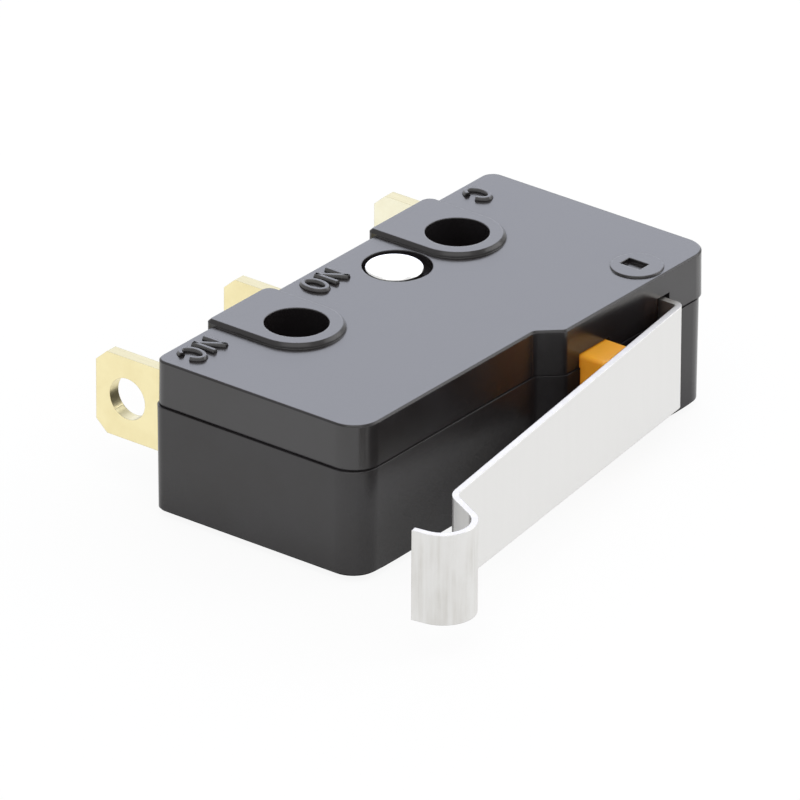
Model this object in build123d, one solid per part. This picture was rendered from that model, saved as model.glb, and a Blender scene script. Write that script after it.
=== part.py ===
from build123d import *

import os
from math import atan2, cos, hypot, radians, sin, tan

# Subminiature snap-action switch with a leaf lever whose free end is rolled into a simulated roller.
#
# Millimetres. The origin is midway between the two mounting holes, on the face of the lower pads.
# +X runs from the normally-closed end to the hinge end, +Y from the lever side to the terminal
# side, and +Z up through the mounting holes.

# ---- Mounting ----
hole_spacing = 9.5          # centre to centre, along X
hole_r = 1.2                # mounting hole radius
hole_to_end = 5.3           # first hole centre to the normally-closed end
hole_to_front = 7.85        # hole centres to the lever-side face
pad_r = 1.8                 # raised pad round each hole
pad_height = 0.2
pad_lip = 0.3               # pad, and the rib below it, beyond the terminal-side face
pad_small_corner_r = 0.2
pad_large_corner_r = 0.5
pad_bevel = 0.12            # at the pad's raised edge

# ---- Housing, outside ----
body_length = 20.0
body_depth = 10.32
body_height = 6.0           # flat face to flat face, without the pads
case_depth = 4.2            # lower shell; the upper shell takes the rest
draft = 0.5                 # degrees, both shells narrow away from the parting line
step_depth = 0.85           # the lever-side face stands back between the end and the plunger
step_run = 0.78             # length of the sloping part of the step
step_to_flange = 0.1        # inside of the step to the plunger's flange
step_r = 0.25
lever_corner_r = 1.1        # corner under the simulated roller
closed_corner_r = 0.5       # corner by the normally-closed terminal
hinge_corner_r = 1.0
common_corner_r = 0.55
case_bevel = 0.08           # at the bottom face's edge
cover_bevel = 0.06          # at the top face's edge
cover_set_in = 0.1          # cover short of the case at the normally-closed end
cover_ledge = 0.05          # case stands proud of the cover on the lever side
case_set_in = 0.22          # case short of the cover at the hinge end

# ---- Housing, inside ----
wall = 0.7
floor = 0.8                 # bottom and top wall
chamber_depth = 5.8         # lever-side face to the back of the switch chamber
fit_gap = 0.05              # clearance round pieces held in the shells
peg_r = 0.4                 # locating pegs under the cover
peg_length = 0.8
peg_from_hole = 2.2         # peg centre beside its mounting hole, along X
peg_from_back = 1.6

# ---- Pivot mark over the hinge ----
mark_r = 0.98
mark_height = 0.065
mark_edge_gap = 0.19        # mark to the lever-side face
recess_length = 0.58
recess_width = 0.9
recess_depth = 0.15
recess_offset = 0.12         # from the middle of the mark, away from the lever

# ---- Rivet that closes the housing ----
rivet_offset_x = 1.5        # rivet centre from the middle of the mounting holes
rivet_offset_y = 0.25
rivet_head_r = 1.09
rivet_head_height = 0.42
rivet_head_edge = 0.1
rivet_rise = 0.06           # head above the flat face
rivet_head_shift = 0.17     # upper head formed off its shank, away from the hinge
rivet_shank_r = 0.7
counterbore_r = 1.31
counterbore_gap = 0.02      # under the head

# ---- Terminals ----
plate = 0.5                 # brass thickness
terminal_width = 3.3
terminal_shoulder = 0.45    # the plate is wider by this on each side inside the chamber
terminal_reach = 3.91       # beyond the terminal-side face
closed_to_end = 1.9         # normally-closed terminal's centre to its end of the housing
common_to_end = 1.7         # common terminal's centre to the hinge end
open_pitch = 7.45           # normally closed to normally open
tip_chamfer_side = 0.45
tip_chamfer_length = 0.5
solder_hole_r = 0.82
solder_hole_to_tip = 1.45
terminal_bend_r = 0.3

# ---- Contacts ----
contact_x = 3.5             # contact line, from the normally-closed end
contact_r = 0.65
contact_height = 0.3
contact_shank_r = 0.35
contact_shank_gap = 0.02
contact_gap = 0.5           # moving contact to the normally-open contact, at rest
contact_touch = 0.01        # moving contact to the normally-closed contact, at rest
closed_arm_gap = 0.05       # normally-closed arm to the chamber's lever-side wall
arm_end = 1.0               # arm beyond the contact's centre

# ---- Snap blade and its compression spring ----
leaf = 0.1                  # spring sheet thickness
moving_head = 0.35          # height of the moving contact's head on each side of the blade
blade_width = 3.2
blade_end = 0.9             # blade beyond the contact's centre
blade_end_r = 0.6
window_width = 1.6
window_from_contact = 3.9   # contact centre to the window
window_length = 4.3
tail_width = 1.4
tail_length = 1.3           # narrow tail through the anchor
tail_past_anchor = 0.35
anchor_to_common = 1.55     # anchor centre to the common terminal's centre
anchor_width = 2.2
anchor_above_blade = 0.4
anchor_slot_gap = 0.05
spring_width = 1.2
spring_rise = 0.9           # arch over the chord between its two seats
spring_seat_gap = 0.02
spring_seat_depth = 0.3     # seat below the top of the post
base_from_front = 4.65      # common terminal's base, centre of the sheet, from the lever-side face
post_to_window = 1.2        # spring post inside the window's hinge-side end
post_below_blade = 0.55

# ---- Plunger ----
plunger_to_hinge = 4.1
plunger_width = 1.7
plunger_height = 3.36
plunger_tip_r = 1.6
plunger_edge = 0.15         # rounded at the cover end, bevelled at the case end
plunger_gap = 0.03          # tip to lever, and foot to blade
flange_thickness = 0.6
flange_side = 0.45          # flange beyond the stem, along X
flange_rise = 0.3           # flange beyond the stem, along Z
foot_width = 0.7
foot_height = 2.4
foot_end_r = 0.25

# ---- Lever ----
sheet = 0.25                # stainless sheet thickness
lever_root_width = 4.13
lever_tip_width = 3.52
lever_angle = 8.5           # degrees between the arm and the housing, at rest
hinge_from_end = 3.065      # hinge line to the end of the cover
root_from_face = 0.77       # housing to the arm's fold, middle of the sheet
arm_length = 16.98          # fold to fold, middle of the sheet
root_bend_r = 0.15
reverse_turn = 54.0         # degrees
reverse_bend_r = 0.58
roller_leg = 1.58           # reverse fold to the roll, middle of the sheet
roller_r = 1.257            # outside radius of the simulated roller
roller_turn = 144.4         # degrees
roller_tip = 0.56
hook_length = 0.75          # hook behind the wall, from the hinge line
hook_gap = 0.1              # hook to the wall
slot_near = 0.28           # slot beyond the hinge line, towards the plunger
slot_far = 0.43             # slot beyond the hinge line, towards the end
slot_side_gap = 0.07        # slot beyond the lever's edges

# ---- Places worked out from the sizes above ----
left = -hole_spacing / 2 - hole_to_end
right = left + body_length
front = -hole_to_front
back = front + body_depth
bottom = pad_height
parting = bottom + case_depth
top = bottom + body_height
middle = (bottom + top) / 2
chamber_bottom = bottom + floor
chamber_top = top - floor
chamber_back = front + chamber_depth
inner_front = front + wall

hinge_x = right - hinge_from_end
plunge_x = hinge_x - plunger_to_hinge
step_bend = atan2(step_depth, step_run)
flange_reach = plunger_width / 2 + flange_side
step_end = plunge_x - flange_reach - step_to_flange - wall * tan(step_bend / 2)
step_start = step_end - step_run

closed_x = left + closed_to_end
open_x = closed_x + open_pitch
common_x = right - common_to_end
terminal_tip = back + terminal_reach
inner_width = terminal_width + 2 * terminal_shoulder

contact_line = left + contact_x
closed_arm_y = inner_front + step_depth + closed_arm_gap + plate / 2
moving_top = closed_arm_y + plate / 2 + contact_height + contact_touch
blade_y = moving_top + moving_head + leaf / 2
moving_bottom = blade_y + leaf / 2 + moving_head
open_arm_y = moving_bottom + contact_gap + contact_height + plate / 2
base_y = front + base_from_front
anchor_x = common_x - anchor_to_common
window_start = contact_line + window_from_contact
window_end = window_start + window_length
post_x = window_end - post_to_window
post_top = blade_y + post_below_blade

root_y = front - root_from_face
hook_y = inner_front + hook_gap + sheet / 2
arm_slope = tan(radians(lever_angle))


def box(x0, x1, y0, y1, z0, z1):
    """A block between two corners."""
    place = Pos((x0 + x1) / 2, (y0 + y1) / 2, (z0 + z1) / 2)
    return place * Box(x1 - x0, y1 - y0, z1 - z0)


def upright(radius, x, y, z0, z1):
    """A round bar along Z."""
    return Pos(x, y, (z0 + z1) / 2) * Cylinder(radius, z1 - z0)


def rounded_face(corners):
    """A face through (x, y, radius) corners."""
    points = [(x, y) for x, y, _ in corners]
    radii = [r for _, _, r in corners]
    return make_face(FilletPolyline(*points, radius=radii, close=True))


def about_middle(face, width):
    """The face extruded evenly to both sides of the switch's middle plane."""
    return extrude(Pos(0, 0, middle) * face, amount=width / 2, both=True)


def folded_face(start, heading, moves, thickness):
    """The edge view of a folded strip, drawn as its path is walked.

    Each move is (length, 0, 0) for a straight run, or (0, inside radius, turn in degrees).
    """
    x, y = start
    half = thickness / 2
    sides = {half: [], -half: []}
    for length, bend_r, turn in moves:
        a = radians(heading)
        if turn == 0:
            nx, ny = x + length * cos(a), y + length * sin(a)
            for s, edges in sides.items():
                shift = Vector(-s * sin(a), s * cos(a))
                edges.append(Line(Vector(x, y) + shift, Vector(nx, ny) + shift))
            x, y = nx, ny
            continue
        hand = 1 if turn > 0 else -1
        r = bend_r + half
        cx, cy = x - hand * r * sin(a), y + hand * r * cos(a)
        for s, edges in sides.items():
            side_r = r - hand * s
            spots = []
            for share in (0, 0.5, 1):
                b = radians(heading + share * turn)
                spots.append((cx + hand * side_r * sin(b), cy - hand * side_r * cos(b)))
            edges.append(ThreePointArc(*spots))
        heading += turn
        b = radians(heading)
        x, y = cx + hand * r * sin(b), cy - hand * r * cos(b)
    one, other = sides[half], sides[-half]
    caps = [Line(one[0] @ 0, other[0] @ 0), Line(one[-1] @ 1, other[-1] @ 1)]
    return make_face(one + other + caps)


def setback(bend_r, turn, thickness):
    """How far before a fold's corner its bend begins, on the middle of the sheet."""
    return (bend_r + thickness / 2) * tan(radians(abs(turn)) / 2)


# ---- Housing ----

def shell_outline(x0, x1, y0):
    """Plan of a shell at the parting line, with the step in its lever side."""
    return rounded_face([
        (x0, y0 + step_depth, lever_corner_r),
        (step_start, y0 + step_depth, step_r),
        (step_end, y0, step_r),
        (x1, y0, hinge_corner_r),
        (x1, back, common_corner_r),
        (x0, back, closed_corner_r),
    ])


def pad_outline(x):
    """Plan of a mounting pad: round on the lever side, straight to the terminal side."""
    y = back + pad_lip
    flank = rounded_face([
        (x - pad_r, 0, 0),
        (x + pad_r, 0, 0),
        (x + pad_r, y, pad_large_corner_r),
        (x - pad_r, y, pad_small_corner_r),
    ])
    return Pos(x, 0) * Circle(pad_r) + flank


def mounting_pads():
    """Both pads, standing on Z = 0 and reaching just under the face that they rise from."""
    root = pad_height / 2
    pads = []
    for x in (-hole_spacing / 2, hole_spacing / 2):
        pad = extrude(Pos(0, 0, -root) * pad_outline(x), amount=pad_height + root)
        pads.append(chamfer(pad.edges().group_by(Axis.Z)[-1], pad_bevel))
    return pads


def pad_ribs(z0, z1):
    """The ribs that carry the pads down the terminal-side face."""
    ribs = []
    for x in (-hole_spacing / 2, hole_spacing / 2):
        plan = rounded_face([
            (x - pad_r, back - wall / 2, 0),
            (x + pad_r, back - wall / 2, 0),
            (x + pad_r, back + pad_lip, pad_large_corner_r),
            (x - pad_r, back + pad_lip, pad_small_corner_r),
        ])
        ribs.append(extrude(Pos(0, 0, z0) * plan, amount=z1 - z0))
    return ribs


def mounting_holes():
    """Two holes, right through both shells and their pads."""
    return [upright(hole_r, x, 0, -pad_height, top + 2 * pad_height)
            for x in (-hole_spacing / 2, hole_spacing / 2)]


def chamber():
    """The space for the mechanism, in both shells."""
    inside = offset(shell_outline(left, right - case_set_in, front), amount=-wall)
    keep = box(left, right, front, chamber_back, chamber_bottom, chamber_top)
    return extrude(Pos(0, 0, chamber_bottom) * inside, amount=chamber_top - chamber_bottom) & keep


def passages():
    """The terminals' channels, the plunger's window and the lever's slot."""
    half = terminal_width / 2 + fit_gap
    thick = plate / 2 + fit_gap
    cuts = [
        box(x - thick, x + thick, chamber_back - wall, back + wall, middle - half, middle + half)
        for x in (closed_x, open_x, common_x)
    ]
    stem, rise = plunger_width / 2 + fit_gap, plunger_height / 2 + fit_gap
    cuts.append(box(plunge_x - stem, plunge_x + stem, front - wall, inner_front + wall,
                    middle - rise, middle + rise))
    edge = lever_root_width / 2 + slot_side_gap
    cuts.append(box(hinge_x - slot_near, hinge_x + slot_far, front - wall, inner_front + wall,
                    middle - edge, middle + edge))
    return cuts


def rivet_bores():
    """The shank's bore and the counterbore at each end."""
    depth = rivet_head_height - rivet_rise + counterbore_gap
    x, y = rivet_offset_x, rivet_offset_y
    return [
        upright(rivet_shank_r + fit_gap, x, y, bottom, top),
        upright(counterbore_r, x, y, bottom - pad_height, bottom + depth),
        upright(counterbore_r, x, y, top - depth, top + pad_height),
    ]


def peg_places():
    """The locating pegs, one beside each mounting hole."""
    y = back - peg_from_back
    return [(-hole_spacing / 2 + peg_from_hole, y), (hole_spacing / 2 + peg_from_hole, y)]


def case():
    """Lower shell: floor, walls, holes and sockets for the cover's pegs."""
    plan = shell_outline(left, right - case_set_in, front)
    shell = extrude(Pos(0, 0, parting) * plan, amount=case_depth, dir=(0, 0, -1), taper=draft)
    shell = chamfer(shell.edges().group_by(Axis.Z)[0], case_bevel)
    for pad in mounting_pads():
        shell += Pos(0, 0, bottom) * mirror(pad, Plane.XY)
    shell += pad_ribs(bottom, parting)
    shell -= mounting_holes()
    shell -= chamber()
    shell -= rivet_bores()
    shell -= passages()
    for x, y in peg_places():
        depth = peg_length + fit_gap
        shell -= upright(peg_r + fit_gap, x, y, parting - depth, parting + fit_gap)
    return shell


def pivot_mark():
    """Raised disc on the cover above the hinge, and the recess in it."""
    y = front + cover_ledge + mark_edge_gap + mark_r
    disc = upright(mark_r, hinge_x, y, top - mark_height, top + mark_height)
    low = top + mark_height - recess_depth
    half, y = recess_length / 2, y + recess_offset
    recess = box(hinge_x - half, hinge_x + half, y - recess_width / 2, y + recess_width / 2,
                 low, top + recess_depth)
    return disc, recess


def cover():
    """Upper shell, with its locating pegs."""
    plan = shell_outline(left + cover_set_in, right, front + cover_ledge)
    shell = extrude(Pos(0, 0, parting) * plan, amount=top - parting, taper=draft)
    shell = chamfer(shell.edges().group_by(Axis.Z)[-1], cover_bevel)
    for pad in mounting_pads():
        shell += Pos(0, 0, top) * pad
    shell += pad_ribs(parting, top)
    disc, recess = pivot_mark()
    shell += disc
    shell -= recess
    shell -= mounting_holes()
    shell -= chamber()
    shell -= rivet_bores()
    shell -= passages()
    for x, y in peg_places():
        shell += upright(peg_r, x, y, parting - peg_length, parting + fit_gap)
    return shell


def housing_rivet():
    """Steel rivet: a bevelled head under the case and a round-edged one in the cover."""
    x, y = rivet_offset_x, rivet_offset_y
    low, high = bottom - rivet_rise, top + rivet_rise
    lower = upright(rivet_head_r, x, y, low, low + rivet_head_height)
    upper = upright(rivet_head_r, x - rivet_head_shift, y, high - rivet_head_height, high)
    rivet = upright(rivet_shank_r, x, y, low + rivet_rise, high - rivet_rise)
    rivet += chamfer(lower.edges().group_by(Axis.Z)[0], rivet_head_edge)
    rivet += fillet(upper.edges().group_by(Axis.Z)[-1], rivet_head_edge)
    return rivet


# ---- Terminals ----

def terminal_blank(face, x):
    """A folded brass strip, narrowed to its soldering tab outside the chamber."""
    strip = about_middle(face, inner_width)
    side, edge = inner_width, terminal_width / 2
    for sign in (1, -1):
        z0, z1 = sorted((middle + sign * edge, middle + sign * (edge + side)))
        strip -= box(x - side, x + side, chamber_back - fit_gap, terminal_tip + side, z0, z1)
        corner = extrude(Plane.YZ.offset(x - plate) * make_face(Polyline(
            (terminal_tip, middle + sign * (edge - tip_chamfer_side)),
            (terminal_tip + plate, middle + sign * (edge - tip_chamfer_side)),
            (terminal_tip + plate, middle + sign * (edge + plate)),
            (terminal_tip - tip_chamfer_length, middle + sign * (edge + plate)),
            (terminal_tip - tip_chamfer_length, middle + sign * edge),
            close=True)), amount=2 * plate)
        strip -= corner
    hole = Pos(x, terminal_tip - solder_hole_to_tip, middle) * Rot(0, 90, 0)
    return strip - hole * Cylinder(solder_hole_r, 2 * plate)


def contact_bore(y):
    """The bore for a contact's shank through an arm or the blade."""
    return Pos(contact_line, y, middle) * Rot(90, 0, 0) * Cylinder(
        contact_shank_r + contact_shank_gap, 2 * plate)


def nc_terminal():
    """Normally-closed terminal: its arm lies along the lever side of the chamber."""
    run = setback(terminal_bend_r, 90, plate)
    moves = [(terminal_tip - closed_arm_y - run, 0, 0), (0, terminal_bend_r, 90),
             (contact_line + arm_end - closed_x - run, 0, 0)]
    face = folded_face((closed_x, terminal_tip), -90, moves, plate)
    return terminal_blank(face, closed_x) - contact_bore(closed_arm_y)


def no_terminal():
    """Normally-open terminal: its arm runs back under the moving contact."""
    run = setback(terminal_bend_r, 90, plate)
    moves = [(terminal_tip - open_arm_y - run, 0, 0), (0, terminal_bend_r, -90),
             (open_x - contact_line + arm_end - run, 0, 0)]
    face = folded_face((open_x, terminal_tip), -90, moves, plate)
    return terminal_blank(face, open_x) - contact_bore(open_arm_y)


def common_terminal():
    """Common terminal: a base with a post for the spring and a lanced anchor for the blade."""
    run = setback(terminal_bend_r, 90, plate)
    moves = [(terminal_tip - base_y - run, 0, 0), (0, terminal_bend_r, -90),
             (common_x - post_x - 2 * run, 0, 0), (0, terminal_bend_r, 90),
             (base_y - post_top - run, 0, 0)]
    face = folded_face((common_x, terminal_tip), -90, moves, plate)
    part = terminal_blank(face, common_x)
    anchor_top = blade_y - anchor_above_blade
    half = anchor_width / 2
    near, far = anchor_x - plate / 2, anchor_x + plate / 2
    window = base_y - plate / 2 - anchor_top
    part -= box(near - window, near, base_y - plate, base_y + plate, middle - half, middle + half)
    part += box(near, far, anchor_top, base_y, middle - half, middle + half)
    slot, gap = tail_width / 2 + anchor_slot_gap, leaf / 2 + anchor_slot_gap
    part -= box(near - plate, far + plate, blade_y - gap, blade_y + gap, middle - slot, middle + slot)
    return part


# ---- Contacts ----

def contact_button(face_y, toward, shank):
    """A contact whose face is at face_y, with its shank running toward +Y or -Y."""
    head = Cylinder(contact_r, contact_height)
    button = head + Pos(0, 0, -(contact_height + shank) / 2) * Cylinder(contact_shank_r, shank)
    y = face_y + toward * contact_height / 2
    return Pos(contact_line, y, middle) * Rot(90 * toward, 0, 0) * button


def nc_contact():
    """Silver contact on the normally-closed arm."""
    return contact_button(closed_arm_y + plate / 2 + contact_height, -1, plate)


def no_contact():
    """Silver contact on the normally-open arm."""
    return contact_button(open_arm_y - plate / 2 - contact_height, 1, plate)


def moving_contact():
    """Double-faced silver contact riveted through the blade."""
    body = Cylinder(contact_shank_r, 2 * moving_head + leaf)
    for side in (1, -1):
        body += Pos(0, 0, side * (leaf + moving_head) / 2) * Cylinder(contact_r, moving_head)
    return Pos(contact_line, blade_y, middle) * Rot(90, 0, 0) * body


# ---- Snap mechanism ----

def contact_blade():
    """Tension blade: wide at the contact, with a window for the spring and a tail at the anchor."""
    start = contact_line - blade_end
    end = anchor_x + plate / 2 + tail_past_anchor
    shoulder = end - tail_length
    wide, narrow = blade_width / 2, tail_width / 2
    outline = rounded_face([
        (start, -wide, blade_end_r), (shoulder, -wide, 0), (shoulder, -narrow, 0),
        (end, -narrow, 0), (end, narrow, 0), (shoulder, narrow, 0), (shoulder, wide, 0),
        (start, wide, blade_end_r),
    ])
    window = Pos((window_start + window_end) / 2, 0) * Rectangle(window_length, window_width)
    bore = Pos(contact_line, 0) * Circle(contact_shank_r + contact_shank_gap)
    flat = extrude(outline - window - bore, amount=leaf / 2, both=True)
    return Pos(0, blade_y, middle) * Rot(90, 0, 0) * flat


def snap_spring():
    """Arched leaf pressed between the common terminal's post and the end of the window."""
    x0, y0 = window_start + spring_seat_gap, blade_y
    x1, y1 = post_x - plate / 2 - spring_seat_gap, post_top + spring_seat_depth
    chord = hypot(x1 - x0, y1 - y0)
    ax, ay = (x1 - x0) / chord, (y1 - y0) / chord
    x0, y0 = x0 + ax * leaf / 2, y0 + ay * leaf / 2
    x1, y1 = x1 - ax * leaf / 2, y1 - ay * leaf / 2
    mx, my = (x0 + x1) / 2 + ay * spring_rise, (y0 + y1) / 2 - ax * spring_rise
    cx, cy = arc_centre((x0, y0), (mx, my), (x1, y1))
    arcs = []
    for side in (leaf / 2, -leaf / 2):
        spots = [outward((cx, cy), p, side) for p in ((x0, y0), (mx, my), (x1, y1))]
        arcs.append(ThreePointArc(*spots))
    caps = [Line(arcs[0] @ t, arcs[1] @ t) for t in (0, 1)]
    return about_middle(make_face(arcs + caps), spring_width)


def arc_centre(a, b, c):
    """Centre of the circle through three points."""
    d = 2 * (a[0] * (b[1] - c[1]) + b[0] * (c[1] - a[1]) + c[0] * (a[1] - b[1]))
    aa, bb, cc = (p[0] ** 2 + p[1] ** 2 for p in (a, b, c))
    x = (aa * (b[1] - c[1]) + bb * (c[1] - a[1]) + cc * (a[1] - b[1])) / d
    y = (aa * (c[0] - b[0]) + bb * (a[0] - c[0]) + cc * (b[0] - a[0])) / d
    return x, y


def outward(centre, point, step):
    """The point moved away from the centre by a step."""
    dx, dy = point[0] - centre[0], point[1] - centre[1]
    share = 1 + step / hypot(dx, dy)
    return centre[0] + dx * share, centre[1] + dy * share


# ---- Plunger and lever ----

def arm_inner_y(x):
    """The arm's housing-side face at x, at rest."""
    half = sheet / 2 / cos(radians(lever_angle))
    return root_y - (hinge_x - x) * arm_slope + half


def plunger():
    """Stem with a rounded tip, a flange that stays behind the wall, and a foot on the blade."""
    half = plunger_width / 2
    cy = arm_inner_y(plunge_x) + (plunger_tip_r + plunger_gap) / cos(radians(lever_angle))
    crest = cy - plunger_tip_r
    corner = cy - (plunger_tip_r ** 2 - half ** 2) ** 0.5
    flange_y = inner_front + fit_gap
    tip = ThreePointArc((plunge_x - half, corner), (plunge_x, crest), (plunge_x + half, corner))
    sides = Polyline(tip @ 1, (plunge_x + half, flange_y), (plunge_x - half, flange_y), tip @ 0)
    stem = about_middle(make_face([tip, sides]), plunger_height)
    stem = fillet(stem.edges().group_by(Axis.Z)[-1], plunger_edge)
    stem = chamfer(stem.edges().group_by(Axis.Z)[0], plunger_edge)
    wide, high = flange_reach, plunger_height / 2 + flange_rise
    flange_end = flange_y + flange_thickness
    stem += box(plunge_x - wide, plunge_x + wide, flange_y, flange_end, middle - high, middle + high)
    foot = rounded_face([
        (plunge_x - foot_width / 2, flange_y, 0), (plunge_x + foot_width / 2, flange_y, 0),
        (plunge_x + foot_width / 2, blade_y - leaf / 2 - plunger_gap, foot_end_r),
        (plunge_x - foot_width / 2, blade_y - leaf / 2 - plunger_gap, foot_end_r),
    ])
    return stem + about_middle(foot, foot_height)


def lever():
    """Folded leaf: hook, tab, arm, reverse fold and the roll at its free end."""
    root_turn = lever_angle - 90
    hook_run = setback(root_bend_r, 90, sheet)
    root_run = setback(root_bend_r, root_turn, sheet)
    reverse_run = setback(reverse_bend_r, reverse_turn, sheet)
    moves = [
        (hook_length - hook_run, 0, 0), (0, root_bend_r, -90),
        (hook_y - root_y - hook_run - root_run, 0, 0), (0, root_bend_r, root_turn),
        (arm_length - root_run - reverse_run, 0, 0), (0, reverse_bend_r, reverse_turn),
        (roller_leg - reverse_run, 0, 0), (0, roller_r - sheet, -roller_turn),
        (roller_tip, 0, 0),
    ]
    edge_view = about_middle(folded_face((hinge_x - hook_length, hook_y), 0, moves, sheet),
                             lever_root_width)
    far = hinge_x - arm_length - 2 * roller_r - roller_leg
    near = hinge_x + sheet
    root, tip = lever_root_width / 2, lever_tip_width / 2
    blank = make_face(Polyline((near, middle - root), (near, middle + root), (far, middle + tip),
                               (far, middle - tip), close=True))
    reach = arm_length + roller_leg
    return edge_view & extrude(Plane.XZ * blank, amount=reach, both=True)


builders = [
    case, cover, housing_rivet,
    nc_terminal, no_terminal, common_terminal,
    nc_contact, no_contact, moving_contact,
    contact_blade, snap_spring,
    plunger, lever,
]

os.makedirs("parts", exist_ok=True)
for builder in builders:
    export_step(builder(), f"parts/{builder.__name__}.step")
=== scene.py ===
from math import cos, pi, radians, sin

import bpy
from bpy.props import FloatProperty, FloatVectorProperty, IntProperty, PointerProperty
from mathutils import Matrix, Vector


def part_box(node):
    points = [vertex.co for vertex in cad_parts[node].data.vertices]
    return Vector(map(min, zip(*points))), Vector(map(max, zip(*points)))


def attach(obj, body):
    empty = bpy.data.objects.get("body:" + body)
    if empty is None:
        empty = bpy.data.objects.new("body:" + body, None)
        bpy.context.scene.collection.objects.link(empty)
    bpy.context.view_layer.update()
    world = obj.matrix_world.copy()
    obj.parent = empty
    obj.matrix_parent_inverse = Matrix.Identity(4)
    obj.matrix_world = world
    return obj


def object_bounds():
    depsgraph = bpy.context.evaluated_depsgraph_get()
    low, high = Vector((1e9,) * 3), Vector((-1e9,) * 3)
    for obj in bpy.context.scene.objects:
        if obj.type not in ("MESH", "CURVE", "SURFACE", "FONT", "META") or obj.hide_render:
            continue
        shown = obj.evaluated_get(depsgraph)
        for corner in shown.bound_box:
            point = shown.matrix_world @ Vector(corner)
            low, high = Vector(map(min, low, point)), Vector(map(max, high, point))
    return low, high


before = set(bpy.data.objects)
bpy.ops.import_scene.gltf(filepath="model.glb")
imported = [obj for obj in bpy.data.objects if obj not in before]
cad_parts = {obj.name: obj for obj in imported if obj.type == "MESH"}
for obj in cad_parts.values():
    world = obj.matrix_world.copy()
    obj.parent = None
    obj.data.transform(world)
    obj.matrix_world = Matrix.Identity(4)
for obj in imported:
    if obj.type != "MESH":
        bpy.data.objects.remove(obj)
cad_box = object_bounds()

bl_info = {
    "name": "Snap-action switch with a simulated roller lever",
    "version": (1, 0, 0),
    "blender": (4, 5, 0),
    "location": "3D View > Sidebar > Switch",
    "description": "Finishes, moulded marks, light and camera for a small lever switch",
    "category": "Object",
}

MM = 0.001

cover_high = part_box("cover")[1]
lever_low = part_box("lever")[0]
rivet_low, rivet_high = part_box("housing_rivet")

# The pads stand above the cover's flat face and past its terminal-side face.
PAD_HEIGHT = 0.2 * MM
PAD_LIP = 0.3 * MM
COVER_FACE = cover_high.z - PAD_HEIGHT
COVER_BACK = cover_high.y - PAD_LIP

# The rivet's upper head reaches furthest towards the normally-closed end.
RIVET_HEAD_R = 1.09 * MM
RIVET_HEAD = (rivet_low.x + RIVET_HEAD_R, (rivet_low.y + rivet_high.y) / 2, 0)

ROLL_LENGTH = 2.6 * MM      # rolled end and fold, along the lever
ROLL_FADE = 0.4 * MM

LETTER_STARTS = {"NC": -7.42 * MM, "NO": -0.28 * MM, "C": 8.42 * MM}
C_START, C_TURN = 18, 310   # degrees
CREST_SHARE = 0.5           # a stroke's crest against its foot

FLOOR_GAP = 0.01 * MM
FLOOR_REACH = 2.0
# Painted shadow: an occlusion reading darkens the floor that glosses mirror, within this reach of the
# switch.
FLOOR_CONTACT = 4 * MM      # how near the switch darkens the floor that a gloss mirrors

AIM = (-0.085 * MM, -2.67 * MM, 3.4 * MM)
AIM_LEFT, AIM_DOWN = 1.225 * MM, 1.02 * MM

FIXED_TERMINALS = ("nc_terminal", "no_terminal")
CONTACTS = ("nc_contact", "no_contact", "moving_contact")
SPRINGS = ("contact_blade", "snap_spring")


# ---- Settings ----

class HousingSettings(bpy.types.PropertyGroup):
    """Moulded plastic of the two shells."""
    colour: FloatVectorProperty(
        name="Plastic", description="Colour of the moulded shells", subtype="COLOR",
        default=(0.0120, 0.0100, 0.0100), min=0, max=1)
    bloom: FloatVectorProperty(
        name="Bloom", description="Paler colour where the moulded skin is worn or dusty",
        subtype="COLOR", default=(0.019, 0.0175, 0.0195), min=0, max=1)
    # The cover's index is set above the case's, so the same plastic reflects brighter on the cover: lit
    # and shaded copies of one plastic, painted light.
    cover_index: FloatProperty(
        name="Cover gloss", description="Refractive index of the cover's skin", default=1.68, min=1)
    case_index: FloatProperty(
        name="Case gloss", description="Refractive index of the case's skin", default=1.55, min=1)
    roughness: FloatProperty(
        name="Roughness", description="Roughness of the moulded skin", default=0.21, min=0, max=1)
    # Painted shade: the plastic's gloss is dimmed within this reach of a neighbour.
    gap_reach: FloatProperty(
        name="Gap reach", description="How far off a neighbour still dims the plastic's gloss",
        default=4.6 * MM, min=0, unit="LENGTH")
    edge_softness: FloatProperty(
        name="Edge softness", description="Radius that rounds the shading of sharp edges",
        default=0.08 * MM, min=0, unit="LENGTH")


class MarkSettings(bpy.types.PropertyGroup):
    """Raised letters that name the terminals."""
    height: FloatProperty(
        name="Letter height", description="Height of a letter on the cover",
        default=1.28 * MM, min=0, unit="LENGTH")
    width: FloatProperty(
        name="Letter width", description="Width of a letter", default=0.90 * MM, min=0, unit="LENGTH")
    spacing: FloatProperty(
        name="Letter spacing", description="Start of one letter to the start of the next",
        default=1.00 * MM, min=0, unit="LENGTH")
    stroke: FloatProperty(
        name="Stroke", description="Width of a stroke at its foot", default=0.26 * MM, min=0,
        unit="LENGTH")
    rise: FloatProperty(
        name="Rise", description="Height of the strokes above the cover", default=0.135 * MM, min=0,
        unit="LENGTH")
    baseline: FloatProperty(
        name="Baseline", description="Foot of the letters to the terminal-side face",
        default=0.30 * MM, min=0, unit="LENGTH")
    curve_steps: IntProperty(
        name="Curve steps", description="Points round a full letter O", default=40, min=8)


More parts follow.
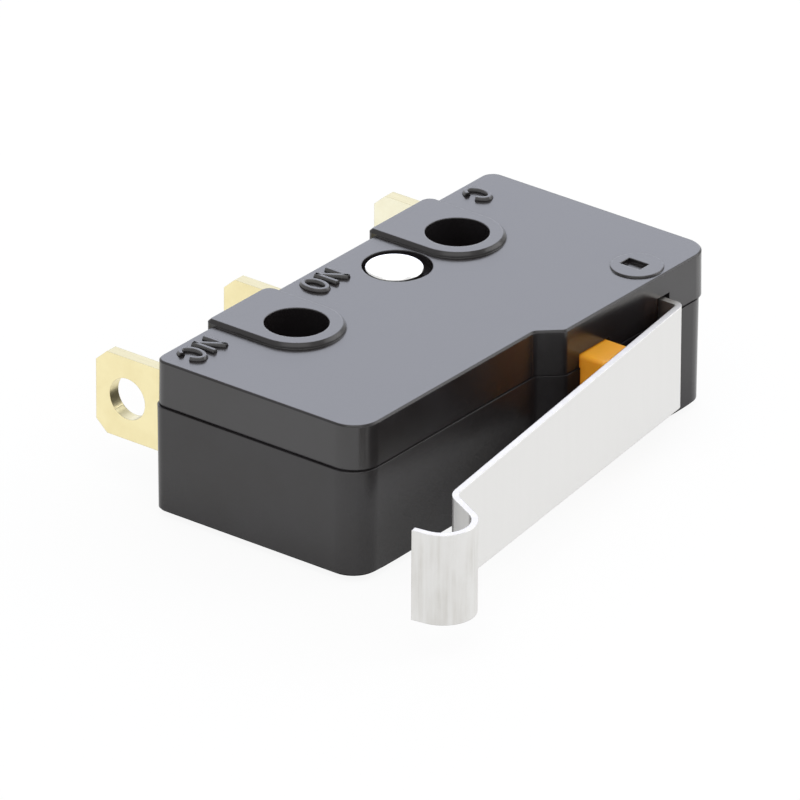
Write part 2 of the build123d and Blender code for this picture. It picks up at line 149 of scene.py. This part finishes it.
class MetalSettings(bpy.types.PropertyGroup):
    """Brass, stainless steel, silver and spring copper."""
    brass: FloatVectorProperty(
        name="Brass", description="Colour of the terminals", subtype="COLOR",
        default=(0.960, 0.860, 0.520), min=0, max=1)
    # Painted highlight: a paler copy of the same brass for the common terminal, standing in for the
    # brighter light that falls on it.
    brass_painted_lighter: FloatVectorProperty(
        name="Pale brass", description="Colour of the common terminal", subtype="COLOR",
        default=(1.0, 0.965, 0.760), min=0, max=1)
    brass_edge: FloatVectorProperty(
        name="Brass edge", description="Colour of the terminals' sheared edges", subtype="COLOR",
        default=(0.420, 0.380, 0.235), min=0, max=1)
    steel: FloatVectorProperty(
        name="Stainless steel", description="Colour of the lever", subtype="COLOR",
        default=(0.800, 0.795, 0.782), min=0, max=1)
    steel_edge: FloatVectorProperty(
        name="Lever edge", description="Colour of the lever's sheared edges", subtype="COLOR",
        default=(0.500, 0.485, 0.460), min=0, max=1)
    steel_roughness: FloatProperty(
        name="Lever roughness", description="Roughness of the lever's sheet", default=0.36,
        min=0, max=1)
    rivet: FloatVectorProperty(
        name="Rivet", description="Colour of the rivet", subtype="COLOR",
        default=(0.830, 0.825, 0.815), min=0, max=1)
    silver: FloatVectorProperty(
        name="Silver", description="Colour of the contacts", subtype="COLOR",
        default=(0.900, 0.885, 0.860), min=0, max=1)
    copper: FloatVectorProperty(
        name="Spring copper", description="Colour of the blade and its spring", subtype="COLOR",
        default=(0.760, 0.450, 0.260), min=0, max=1)


class PlungerSettings(bpy.types.PropertyGroup):
    """Orange plunger."""
    colour: FloatVectorProperty(
        name="Plunger", description="Colour of the plunger's plastic", subtype="COLOR",
        default=(0.700, 0.370, 0.026), min=0, max=1)
    # Painted glow: an emission colour that stands in for light the clear plastic carries out of its
    # inside.
    painted_glow: FloatVectorProperty(
        name="Carried light", description="Light that the clear plastic brings out of its inside",
        subtype="COLOR", default=(0.170, 0.036, 0.002), min=0, max=1)
    roughness: FloatProperty(
        name="Roughness", description="Roughness of the plunger", default=0.36, min=0, max=1)


class StageSettings(bpy.types.PropertyGroup):
    """Floor, light and camera."""
    ambient: FloatProperty(
        name="Ambient", description="Strength of the even light from all round", default=0.70, min=0)
    sheen_light: FloatProperty(
        name="Back softbox", description="Brightness of the softbox behind the switch",
        default=1.46, min=0)
    top_light: FloatProperty(
        name="Top softbox", description="Brightness of the softbox above", default=1.3, min=0)
    side_light: FloatProperty(
        name="Side softbox", description="Brightness of the softbox on the lever side",
        default=2.0, min=0)
    shadow: FloatProperty(
        name="Shadow", description="How much of the shadow the pale floor shows", default=0.09,
        min=0, max=1)
    azimuth: FloatProperty(
        name="Camera azimuth", description="Direction that the camera looks from",
        default=radians(-52.28), subtype="ANGLE")
    elevation: FloatProperty(
        name="Camera elevation", description="Height of the camera above the horizon",
        default=radians(26.67), subtype="ANGLE")
    roll: FloatProperty(
        name="Camera roll", description="Turn of the camera about its own line of sight",
        default=radians(0.275), subtype="ANGLE")
    distance: FloatProperty(
        name="Camera distance", description="Camera to the point that it looks at",
        default=508.8 * MM, unit="LENGTH")
    lens: FloatProperty(name="Lens", description="Focal length in millimetres", default=630.0)


# ---- Node building ----

def add(tree, kind, inputs=None, **settings):
    """Adds a node. An input takes a value, or another node's output, by its socket's name or index."""
    node = tree.nodes.new(kind)
    for name, value in settings.items():
        setattr(node, name, value)
    for name, value in (inputs or {}).items():
        socket = node.inputs[name]
        if isinstance(value, bpy.types.NodeSocket):
            tree.links.new(value, socket)
        else:
            socket.default_value = value
    return node


def paint(colour):
    """A colour with its alpha."""
    return (*colour, 1.0)


def blank_material(name):
    """An empty node material and its tree."""
    material = bpy.data.materials.new(name)
    material.use_nodes = True
    material.node_tree.nodes.clear()
    return material, material.node_tree


def millimetres(tree, stretch=(1, 1, 1), turn=(0, 0, 0)):
    """The place on the object in millimetres, stretched for a pattern that has a direction."""
    place = add(tree, "ShaderNodeTexCoord")
    scale = tuple(s / MM for s in stretch)
    return add(tree, "ShaderNodeMapping", {
        "Vector": place.outputs["Object"], "Rotation": turn, "Scale": scale}).outputs[0]


def noise(tree, place, per_mm, detail=3.0, roughness=0.55, distortion=0.0):
    """A noise pattern with so many grains to the millimetre."""
    return add(tree, "ShaderNodeTexNoise", {
        "Vector": place, "Scale": per_mm, "Detail": detail, "Roughness": roughness,
        "Distortion": distortion}).outputs["Fac"]


def spread(tree, value, low, high, start=0.3, end=0.7):
    """A pattern's value, from start to end, mapped to a range."""
    return add(tree, "ShaderNodeMapRange", {
        "Value": value, "From Min": start, "From Max": end, "To Min": low, "To Max": high},
        clamp=True).outputs[0]


def blend(tree, share, one, other):
    """Two colours, or a colour and an output, mixed."""
    mix = add(tree, "ShaderNodeMix", {0: share}, data_type="RGBA")
    for name, value in (("A", one), ("B", other)):
        socket = next(s for s in mix.inputs if s.name == name and s.type == "RGBA")
        if isinstance(value, bpy.types.NodeSocket):
            tree.links.new(value, socket)
        else:
            socket.default_value = value
    return next(s for s in mix.outputs if s.type == "RGBA")


def dulled(colour, share):
    """A colour darkened by one share, or by a share for each of its parts."""
    shares = share if isinstance(share, tuple) else (share,) * 3
    return paint(c * s for c, s in zip(colour, shares))


def product(tree, one, other):
    """Two values multiplied."""
    return add(tree, "ShaderNodeMath", {0: one, 1: other}, operation="MULTIPLY").outputs[0]


def larger(tree, one, other):
    """The larger of two values."""
    return add(tree, "ShaderNodeMath", {0: one, 1: other}, operation="MAXIMUM").outputs[0]


def openness(tree, reach, lean=0.0):
    """One where nothing stands within reach, falling to zero in gaps. A lean looks off the floor."""
    normal = add(tree, "ShaderNodeNewGeometry").outputs["Normal"]
    leant = add(tree, "ShaderNodeVectorMath", {0: normal, 1: (0, 0, lean)}, operation="ADD").outputs[0]
    ahead = add(tree, "ShaderNodeVectorMath", {0: leant}, operation="NORMALIZE").outputs[0]
    return add(tree, "ShaderNodeAmbientOcclusion", {
        "Distance": reach, "Normal": ahead}, samples=8).outputs["AO"]


def lift(tree):
    """How far a face looks up: one on a level top, nothing on a wall, minus one underneath."""
    normal = add(tree, "ShaderNodeTexCoord").outputs["Normal"]
    return add(tree, "ShaderNodeSeparateXYZ", {0: normal}).outputs["Z"]


def off_bevel(tree):
    """How far a face's lift is from that of a bevel at half a right angle."""
    apart = add(tree, "ShaderNodeMath", {0: lift(tree), 1: cos(pi / 4)}, operation="SUBTRACT").outputs[0]
    return add(tree, "ShaderNodeMath", {0: apart}, operation="ABSOLUTE").outputs[0]


def cut_face(tree):
    """One on faces that look up or down, where sheet metal shows its cut edge."""
    steep = add(tree, "ShaderNodeMath", {0: lift(tree)}, operation="ABSOLUTE").outputs[0]
    return add(tree, "ShaderNodeMath", {0: steep, 1: 0.7}, operation="GREATER_THAN").outputs[0]


def softened(tree, radius, height, depth):
    """A normal with soft edges and a fine relief of so much depth."""
    edge = add(tree, "ShaderNodeBevel", {"Radius": radius}, samples=6)
    return add(tree, "ShaderNodeBump", {
        "Strength": 1.0, "Distance": depth, "Height": height, "Normal": edge.outputs[0]}).outputs[0]


def finish_tree(tree, shader):
    """Joins the shader to the material's output."""
    add(tree, "ShaderNodeOutputMaterial", {"Surface": shader.outputs[0]})


def dress(nodes, material):
    """Gives CAD nodes their material."""
    for name in nodes:
        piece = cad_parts[name]
        piece.data.materials.clear()
        piece.data.materials.append(material)


# ---- Materials ----

def moulded_plastic(name, index):
    """Black moulded plastic: a fine grain, a faint bloom, and less gloss in gaps, on bevels and
    underneath, where painted shade dims it.
    """
    choice = bpy.context.scene.switch_housing
    material, tree = blank_material(name)
    place = millimetres(tree)
    clouds = noise(tree, place, 0.45, detail=4.0)
    grain = noise(tree, place, 9.0, detail=2.0)
    colour = blend(tree, spread(tree, clouds, 0.0, 0.8), paint(choice.colour), paint(choice.bloom))
    skin = spread(tree, clouds, choice.roughness - 0.04, choice.roughness + 0.04)
    underside = spread(tree, lift(tree), low=1.0, high=0.0, start=-0.7, end=-0.2)
    # Painted shade: an occlusion reading dims the gloss near other pieces and in gaps, faces that look
    # down lose their gloss, and bevels at half a right angle are dimmed.
    gap_shaded_gloss = spread(tree, openness(tree, choice.gap_reach, lean=0.9),
                        low=0.02, high=0.54, start=0.45, end=0.82)
    sheen = product(tree, gap_shaded_gloss, spread(tree, lift(tree), low=0.0, high=1.0, start=-0.7, end=-0.2))
    sheen = product(tree, sheen, spread(tree, off_bevel(tree), low=0.45, high=1.0, start=0.05, end=0.2))
    shader = add(tree, "ShaderNodeBsdfPrincipled", {
        "Base Color": colour, "Roughness": larger(tree, skin, underside), "IOR": index,
        "Specular IOR Level": sheen,
        "Normal": softened(tree, choice.edge_softness, grain, 0.0020 * MM)})
    finish_tree(tree, shader)
    return material


def plunger_plastic():
    """Orange plastic, a little translucent, with fine scuffs along its travel, and a painted glow: an
    emission that stands in for light carried through it.
    """
    choice = bpy.context.scene.switch_plunger
    material, tree = blank_material("Orange plunger plastic")
    scuffs = noise(tree, millimetres(tree, (3.0, 0.4, 3.0)), 3.0)
    clouds = noise(tree, millimetres(tree), 0.9)
    colour = blend(tree, spread(tree, clouds, 0.0, 1.0),
                   paint(choice.colour), dulled(choice.colour, 0.86))
    shader = add(tree, "ShaderNodeBsdfPrincipled", {
        "Base Color": colour, "Subsurface Weight": 0.4,
        "Subsurface Radius": (1.0, 0.4, 0.06), "Subsurface Scale": 0.5 * MM,
        # Painted glow: the plunger emits this colour though it is no lamp.
        "Emission Color": paint(choice.painted_glow), "Emission Strength": 1.0,
        "Roughness": spread(tree, scuffs, choice.roughness - 0.06, choice.roughness + 0.08),
        "Normal": softened(tree, 0.06 * MM, scuffs, 0.0015 * MM)})
    finish_tree(tree, shader)
    return material


def terminal_brass(name, face):
    """Rolled brass: faint lines along the strip and a few dull patches."""
    choice = bpy.context.scene.switch_metal
    material, tree = blank_material(name)
    lines = noise(tree, millimetres(tree, (9.0, 0.5, 9.0)), 1.6)
    patches = noise(tree, millimetres(tree), 0.8, detail=4.0)
    colour = blend(tree, spread(tree, patches, low=0.0, high=0.8, start=0.42, end=0.72),
                   paint(face), dulled(face, (0.92, 0.90, 0.85)))
    colour = blend(tree, cut_face(tree), colour, paint(choice.brass_edge))
    shader = add(tree, "ShaderNodeBsdfPrincipled", {
        "Base Color": colour, "Metallic": 1.0, "Roughness": spread(tree, lines, 0.28, 0.38),
        "Normal": softened(tree, 0.04 * MM, lines, 0.0005 * MM)})
    finish_tree(tree, shader)
    return material


def lever_steel():
    """Stainless sheet, with drawn streaks and dull patches on the rolled end."""
    choice = bpy.context.scene.switch_metal
    material, tree = blank_material("Stainless sheet")
    rolled_to = lever_low.x + ROLL_LENGTH
    across = add(tree, "ShaderNodeSeparateXYZ", {
        0: add(tree, "ShaderNodeTexCoord").outputs["Object"]}).outputs["X"]
    on_roll = add(tree, "ShaderNodeMapRange", {
        "Value": across, "From Min": rolled_to, "From Max": rolled_to - ROLL_FADE}).outputs[0]
    streaks = noise(tree, millimetres(tree, (1, 1, 0.06)), 5.0, detail=4.0)
    patches = noise(tree, millimetres(tree, (1, 1, 0.5)), 0.9, detail=4.0)
    lines = noise(tree, millimetres(tree, (1, 1, 0.05)), 3.0)
    marks = product(tree, spread(tree, streaks, low=0.15, high=0.85, start=0.35, end=0.70),
                    spread(tree, patches, low=0.0, high=1.0, start=0.35, end=0.65))
    colour = blend(tree, product(tree, marks, on_roll),
                   paint(choice.steel), dulled(choice.steel, (0.80, 0.785, 0.755)))
    colour = blend(tree, cut_face(tree), colour, paint(choice.steel_edge))
    rough = spread(tree, lines, choice.steel_roughness - 0.04, choice.steel_roughness + 0.04)
    shader = add(tree, "ShaderNodeBsdfPrincipled", {
        "Base Color": colour, "Metallic": 1.0, "Roughness": rough,
        "Normal": softened(tree, 0.04 * MM, streaks, 0.0007 * MM)})
    finish_tree(tree, shader)
    return material


def rivet_steel():
    """Bright steel, with faint rings from its heading."""
    choice = bpy.context.scene.switch_metal
    material, tree = blank_material("Bright rivet steel")
    place = add(tree, "ShaderNodeVectorMath", {
        0: add(tree, "ShaderNodeTexCoord").outputs["Object"], 1: RIVET_HEAD},
        operation="SUBTRACT").outputs[0]
    rings = add(tree, "ShaderNodeTexWave", {
        "Vector": place, "Scale": 1.4 / MM, "Distortion": 1.5, "Detail": 2.0},
        wave_type="RINGS", rings_direction="Z").outputs["Fac"]
    spots = noise(tree, millimetres(tree), 2.2)
    colour = blend(tree, spread(tree, spots, 0.0, 0.7), paint(choice.rivet), dulled(choice.rivet, 0.88))
    shader = add(tree, "ShaderNodeBsdfPrincipled", {
        "Base Color": colour, "Metallic": 1.0, "Roughness": spread(tree, rings, 0.16, 0.24, 0, 1),
        "Normal": softened(tree, 0.08 * MM, rings, 0.0006 * MM)})
    finish_tree(tree, shader)
    return material


def contact_silver():
    """Silver with a dull bloom from headed faces."""
    choice = bpy.context.scene.switch_metal
    material, tree = blank_material("Contact silver")
    bloom = noise(tree, millimetres(tree), 3.0, detail=4.0)
    colour = blend(tree, spread(tree, bloom, 0.0, 1.0), paint(choice.silver), dulled(choice.silver, 0.8))
    shader = add(tree, "ShaderNodeBsdfPrincipled", {
        "Base Color": colour, "Metallic": 1.0, "Roughness": spread(tree, bloom, 0.22, 0.42),
        "Normal": softened(tree, 0.04 * MM, bloom, 0.001 * MM)})
    finish_tree(tree, shader)
    return material


def spring_copper():
    """Spring sheet with rolling lines along it."""
    choice = bpy.context.scene.switch_metal
    material, tree = blank_material("Spring copper")
    lines = noise(tree, millimetres(tree, (0.3, 6.0, 6.0)), 2.0)
    colour = blend(tree, spread(tree, lines, 0.0, 0.8), paint(choice.copper), dulled(choice.copper, 0.75))
    shader = add(tree, "ShaderNodeBsdfPrincipled", {
        "Base Color": colour, "Metallic": 1.0, "Roughness": spread(tree, lines, 0.26, 0.40),
        "Normal": softened(tree, 0.02 * MM, lines, 0.0008 * MM)})
    finish_tree(tree, shader)
    return material


# ---- Raised terminal letters ----

def letter_strokes(letter):
    """A letter's strokes in a unit square: lists of points, and whether the stroke closes."""
    steps = bpy.context.scene.switch_marks.curve_steps
    if letter == "N":
        return [([(0, 0), (0, 1)], False), ([(0, 1), (1, 0)], False), ([(1, 0), (1, 1)], False)]
    start, turn = (0, 360) if letter == "O" else (C_START, C_TURN)
    count = steps if letter == "O" else steps * 3 // 4
    last = count if letter == "O" else count - 1
    angles = [radians(start + turn * i / last) for i in range(count)]
    return [([(0.5 + 0.5 * cos(a), 0.5 + 0.5 * sin(a)) for a in angles], letter == "O")]


def stroke_curve(word, foot):
    """The word's centre lines as a curve on the cover, read from the terminal side."""
    marks = bpy.context.scene.switch_marks
    curve = bpy.data.curves.new("letter_lines", "CURVE")
    curve.dimensions = "3D"
    reach, rise = marks.width - marks.stroke, marks.height - marks.stroke
    for place, letter in enumerate(word):
        for points, closed in letter_strokes(letter):
            spline = curve.splines.new("POLY")
            spline.points.add(len(points) - 1)
            spline.use_cyclic_u = closed
            for point, (u, v) in zip(spline.points, points):
                along = place * marks.spacing + marks.stroke / 2 + u * reach
                up = marks.stroke / 2 + v * rise
                point.co = (foot.x - along, foot.y - up, foot.z, 1)
    return bpy.data.objects.new("letter_lines", curve)


def ridge_nodes():
    """Geometry nodes that raise a drafted ridge along each stroke."""
    tree = bpy.data.node_groups.new("Raised strokes", "GeometryNodeTree")
    for name, kind, way in (("Strokes", "NodeSocketGeometry", "INPUT"),
                            ("Foot width", "NodeSocketFloat", "INPUT"),
                            ("Crest width", "NodeSocketFloat", "INPUT"),
                            ("Rise", "NodeSocketFloat", "INPUT"),
                            ("Finish", "NodeSocketMaterial", "INPUT"),
                            ("Ridges", "NodeSocketGeometry", "OUTPUT")):
        tree.interface.new_socket(name, in_out=way, socket_type=kind)
    given = add(tree, "NodeGroupInput").outputs
    # An upright normal sweeps the section upside down, so its bottom becomes the crest.
    section = add(tree, "GeometryNodeCurvePrimitiveQuadrilateral", {
        "Bottom Width": given["Crest width"], "Top Width": given["Foot width"],
        "Height": given["Rise"], "Offset": 0.0}, mode="TRAPEZOID")
    level = add(tree, "GeometryNodeSetCurveNormal", {"Curve": given["Strokes"]}, mode="Z_UP")
    swept = add(tree, "GeometryNodeCurveToMesh", {
        "Curve": level.outputs[0], "Profile Curve": section.outputs[0], "Fill Caps": True})
    crisp = add(tree, "GeometryNodeSetShadeSmooth", {0: swept.outputs[0], "Shade Smooth": False})
    real = add(tree, "GeometryNodeRealizeInstances", {0: crisp.outputs[0]})
    dressed = add(tree, "GeometryNodeSetMaterial", {
        "Geometry": real.outputs[0], "Material": given["Finish"]})
    add(tree, "NodeGroupOutput", {0: dressed.outputs[0]})
    return tree


def geometry_result(source, name, tree, values):
    """Runs a geometry node tree on an object and keeps the result as a plain mesh piece."""
    bpy.context.scene.collection.objects.link(source)
    modifier = source.modifiers.new("nodes", "NODES")
    modifier.node_group = tree
    keys = {s.name: s.identifier for s in tree.interface.items_tree if s.in_out == "INPUT"}
    for label, value in values.items():
        modifier[keys[label]] = value
    bpy.context.view_layer.update()
    graph = bpy.context.evaluated_depsgraph_get()
    mesh = bpy.data.meshes.new_from_object(source.evaluated_get(graph), depsgraph=graph)
    bpy.data.objects.remove(source)
    piece = bpy.data.objects.new(name, mesh)
    mesh.name = name
    bpy.context.scene.collection.objects.link(piece)
    return piece


# ---- Operators ----

class SWITCH_OT_finish_housing(bpy.types.Operator):
    """Give both shells their moulded plastic"""
    bl_idname = "switch.finish_housing"
    bl_label = "Finish housing"

    def execute(self, context):
        choice = context.scene.switch_housing
        # The two shells get lit and shaded copies of one plastic, which differ only in their index.
        dress(("case",), moulded_plastic("Black case plastic", choice.case_index))
        dress(("cover",), moulded_plastic("Black cover plastic", choice.cover_index))
        return {"FINISHED"}


class SWITCH_OT_raise_letters(bpy.types.Operator):
    """Raise the letters NC, NO and C on the cover, beside their terminals"""
    bl_idname = "switch.raise_letters"
    bl_label = "Raise terminal letters"

    def execute(self, context):
        marks = context.scene.switch_marks
        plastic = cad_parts["cover"].data.materials[0]
        tree = ridge_nodes()
        y = COVER_BACK - marks.baseline
        for word, start in LETTER_STARTS.items():
            foot = Vector((start, y, COVER_FACE + marks.rise / 2))
            piece = geometry_result(stroke_curve(word, foot), f"letters_{word.lower()}", tree, {
                "Foot width": marks.stroke, "Crest width": marks.stroke * CREST_SHARE,
                "Rise": marks.rise, "Finish": plastic})
            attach(piece, "housing")
        return {"FINISHED"}


class SWITCH_OT_finish_metal(bpy.types.Operator):
    """Give the lever, rivet, terminals, contacts and springs their metals"""
    bl_idname = "switch.finish_metal"
    bl_label = "Finish metal pieces"

    def execute(self, context):
        dress(("lever",), lever_steel())
        dress(("housing_rivet",), rivet_steel())
        choice = context.scene.switch_metal
        dress(FIXED_TERMINALS, terminal_brass("Rolled brass", choice.brass))
        # The common terminal gets the paler copy of the brass: a painted highlight.
        dress(("common_terminal",), terminal_brass("Rolled brass with painted highlight", choice.brass_painted_lighter))
        dress(CONTACTS, contact_silver())
        dress(SPRINGS, spring_copper())
        return {"FINISHED"}


class SWITCH_OT_finish_plunger(bpy.types.Operator):
    """Give the plunger its orange plastic"""
    bl_idname = "switch.finish_plunger"
    bl_label = "Finish plunger"

    def execute(self, context):
        dress(("plunger",), plunger_plastic())
        return {"FINISHED"}


def seen_rays(tree):
    """One for camera rays, and one for glossy and transmission rays."""
    path = add(tree, "ShaderNodeLightPath").outputs
    return path["Is Camera Ray"], larger(tree, path["Is Glossy Ray"], path["Is Transmission Ray"])


def softbox(name, direction, distance, size, brightness, tint=(1, 1, 1)):
    """A soft rectangular lamp that faces the switch from a direction."""
    lamp = bpy.data.lights.new(name, "AREA")
    lamp.shape = "RECTANGLE"
    lamp.size, lamp.size_y = size
    lamp.energy = brightness * pi * size[0] * size[1]
    lamp.color = tint
    place = bpy.data.objects.new(name, lamp)
    place.location = Vector(direction).normalized() * distance
    place.rotation_euler = Vector(direction).to_track_quat("Z", "Y").to_euler()
    place.visible_camera = False
    bpy.context.scene.collection.objects.link(place)


class SWITCH_OT_set_stage(bpy.types.Operator):
    """Lay the pale floor, light it softly and place the camera"""
    bl_idname = "switch.set_stage"
    bl_label = "Set stage"

    def execute(self, context):
        self.floor(context)
        self.surroundings(context)
        self.lamps(context)
        self.camera(context)
        context.scene.view_settings.view_transform = "Standard"
        return {"FINISHED"}

    def floor(self, context):
        """A pale floor that shows white, with a share of the shadow, and a painted shadow near the switch
        in what glosses mirror.
        """
        stage = context.scene.switch_stage
        material, tree = blank_material("Pale floor")
        matt = add(tree, "ShaderNodeBsdfDiffuse", {"Color": (0.9, 0.9, 0.9, 1)})
        white = add(tree, "ShaderNodeEmission", {"Color": (1, 1, 1, 1), "Strength": 1.0})
        camera, bounced = seen_rays(tree)
        # Painted shadow: near the switch, the floor seen in glosses turns from white to the matt floor.
        mirrored = product(tree, bounced, openness(tree, FLOOR_CONTACT))
        share = product(tree, larger(tree, camera, mirrored), 1 - stage.shadow)
        mixed = add(tree, "ShaderNodeMixShader", {0: share, 1: matt.outputs[0], 2: white.outputs[0]})
        finish_tree(tree, mixed)
        mesh = bpy.data.meshes.new("floor")
        corners = [(x * FLOOR_REACH, y * FLOOR_REACH, cad_box[0].z - FLOOR_GAP)
                   for x, y in ((-1, -1), (1, -1), (1, 1), (-1, 1))]
        mesh.from_pydata(corners, [], [(0, 1, 2, 3)])
        mesh.materials.append(material)
        floor = bpy.data.objects.new("floor", mesh)
        context.scene.collection.objects.link(floor)

    def surroundings(self, context):
        """White all round where it is seen, and an even light elsewhere."""
        stage = context.scene.switch_stage
        world = bpy.data.worlds.new("White surround")
        world.use_nodes = True
        tree = world.node_tree
        tree.nodes.clear()
        strength = add(tree, "ShaderNodeMapRange", {
            "Value": larger(tree, *seen_rays(tree)), "To Min": stage.ambient, "To Max": 1.0}).outputs[0]
        sky = add(tree, "ShaderNodeBackground", {"Color": (1, 1, 1, 1), "Strength": strength})
        add(tree, "ShaderNodeOutputWorld", {"Surface": sky.outputs[0]})
        context.scene.world = world

    def lamps(self, context):
        """A softbox behind, whose reflection lights the top face, one above and one at the side."""
        stage = context.scene.switch_stage
        behind = (sin(-stage.azimuth) * cos(stage.elevation),
                  cos(stage.azimuth) * cos(stage.elevation), sin(stage.elevation))
        softbox("back_softbox", direction=behind, distance=0.6, size=(0.7, 0.5),
                brightness=stage.sheen_light, tint=(0.765, 0.815, 1.0))
        softbox("top_softbox", direction=(-0.3, -0.2, 1.0), distance=0.7, size=(0.6, 0.6),
                brightness=stage.top_light)
        softbox("side_softbox", direction=(0.7, -0.5, 0.5), distance=0.6, size=(0.4, 0.4),
                brightness=stage.side_light)

    def camera(self, context):
        """A long lens above the lever side, with a small roll, aimed beside the switch's middle."""
        stage = context.scene.switch_stage
        lens = bpy.data.cameras.new("camera")
        lens.lens = stage.lens
        lens.sensor_width = 36.0
        lens.clip_start, lens.clip_end = 10 * MM, 10.0
        az, el = stage.azimuth, stage.elevation
        back = Vector((sin(az) * cos(el), -cos(az) * cos(el), sin(el)))
        right = Vector((cos(az), sin(az), 0))
        up = back.cross(right)
        tilt_right = cos(stage.roll) * right + sin(stage.roll) * up
        tilt_up = cos(stage.roll) * up - sin(stage.roll) * right
        target = Vector(AIM) - AIM_LEFT * tilt_right - AIM_DOWN * tilt_up
        turn = Matrix((tilt_right, tilt_up, back)).transposed()
        camera = bpy.data.objects.new("camera", lens)
        camera.matrix_world = Matrix.Translation(target + back * stage.distance) @ turn.to_4x4()
        context.scene.collection.objects.link(camera)
        context.scene.camera = camera


class SWITCH_PT_panel(bpy.types.Panel):
    """The switch's pieces and stage, in the order they are made"""
    bl_label = "Snap-action switch"
    bl_idname = "SWITCH_PT_panel"
    bl_space_type = "VIEW_3D"
    bl_region_type = "UI"
    bl_category = "Switch"

    def draw(self, context):
        for name, settings in SETTINGS.items():
            group = getattr(context.scene, name)
            box = self.layout.box()
            for label in settings.__annotations__:
                box.prop(group, label)
        for operator in OPERATORS:
            self.layout.operator(operator.bl_idname)


SETTINGS = {
    "switch_housing": HousingSettings,
    "switch_marks": MarkSettings,
    "switch_metal": MetalSettings,
    "switch_plunger": PlungerSettings,
    "switch_stage": StageSettings,
}
OPERATORS = (
    SWITCH_OT_finish_housing,
    SWITCH_OT_raise_letters,
    SWITCH_OT_finish_metal,
    SWITCH_OT_finish_plunger,
    SWITCH_OT_set_stage,
)


def register():
    """Registers the settings, the operators and the panel."""
    for name, settings in SETTINGS.items():
        bpy.utils.register_class(settings)
        setattr(bpy.types.Scene, name, PointerProperty(type=settings))
    for operator in OPERATORS:
        bpy.utils.register_class(operator)
    bpy.utils.register_class(SWITCH_PT_panel)


def unregister():
    """Takes them away again."""
    bpy.utils.unregister_class(SWITCH_PT_panel)
    for operator in reversed(OPERATORS):
        bpy.utils.unregister_class(operator)
    for name, settings in SETTINGS.items():
        delattr(bpy.types.Scene, name)
        bpy.utils.unregister_class(settings)


def main():
    """Makes every piece in order."""
    register()
    bpy.ops.switch.finish_housing()
    bpy.ops.switch.raise_letters()
    bpy.ops.switch.finish_metal()
    bpy.ops.switch.finish_plunger()
    bpy.ops.switch.set_stage()


if __name__ == "__main__":
    main()
